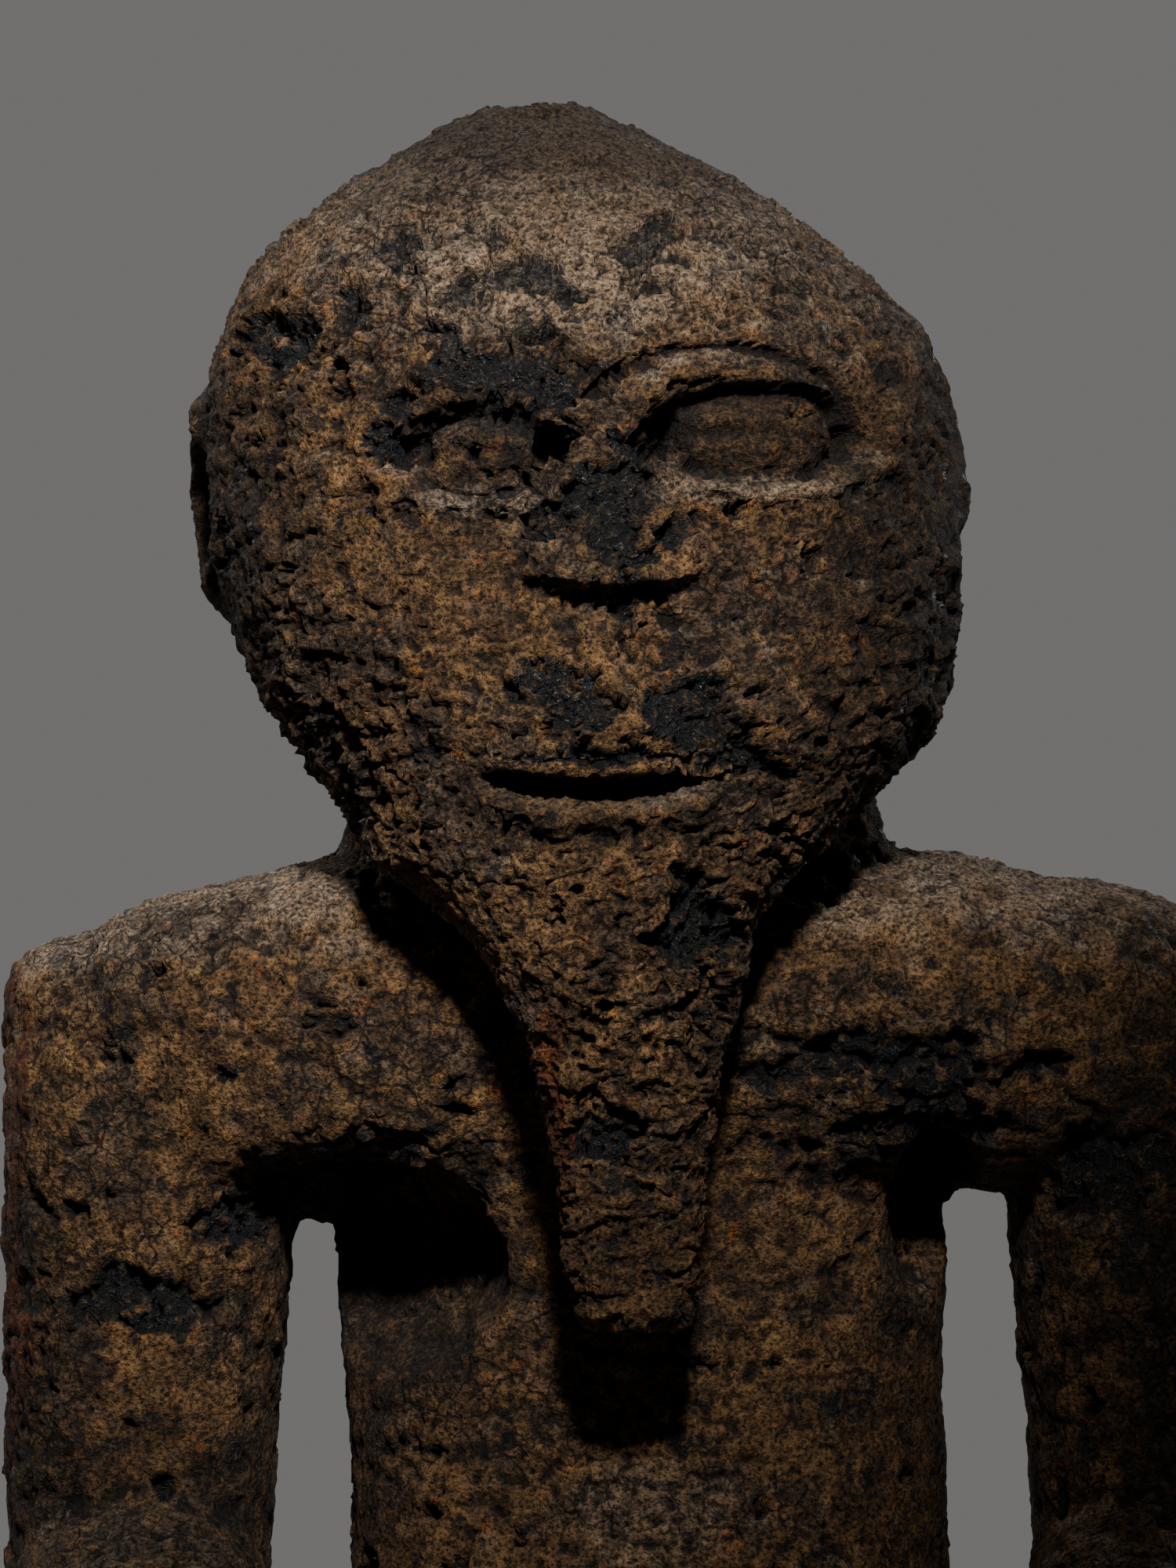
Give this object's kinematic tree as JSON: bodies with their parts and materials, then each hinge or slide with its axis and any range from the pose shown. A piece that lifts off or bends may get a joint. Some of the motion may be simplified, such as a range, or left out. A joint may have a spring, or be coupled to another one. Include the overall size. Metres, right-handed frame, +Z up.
{
  "type": "power figure",
  "caption": "Standing carved wooden figure with a bulbous head, a long wedge beard and hands on the belly, under a thick earthen crust.",
  "frame": {"origin": "middle of the underside of the low base, under the middle of the figure's outer box", "axes": "+Z up, -Y is where the face looks, +X is the onlooker's right"},
  "size_m": [0.2812, 0.1656, 0.6],
  "materials": {
    "crusted_wood": "thick dry cracked earth crust over dark wood, with tarry and bare rusty patches"
  },
  "bodies": {
    "root": {"figure": "crusted_wood"}
  },
  "joints": []
}
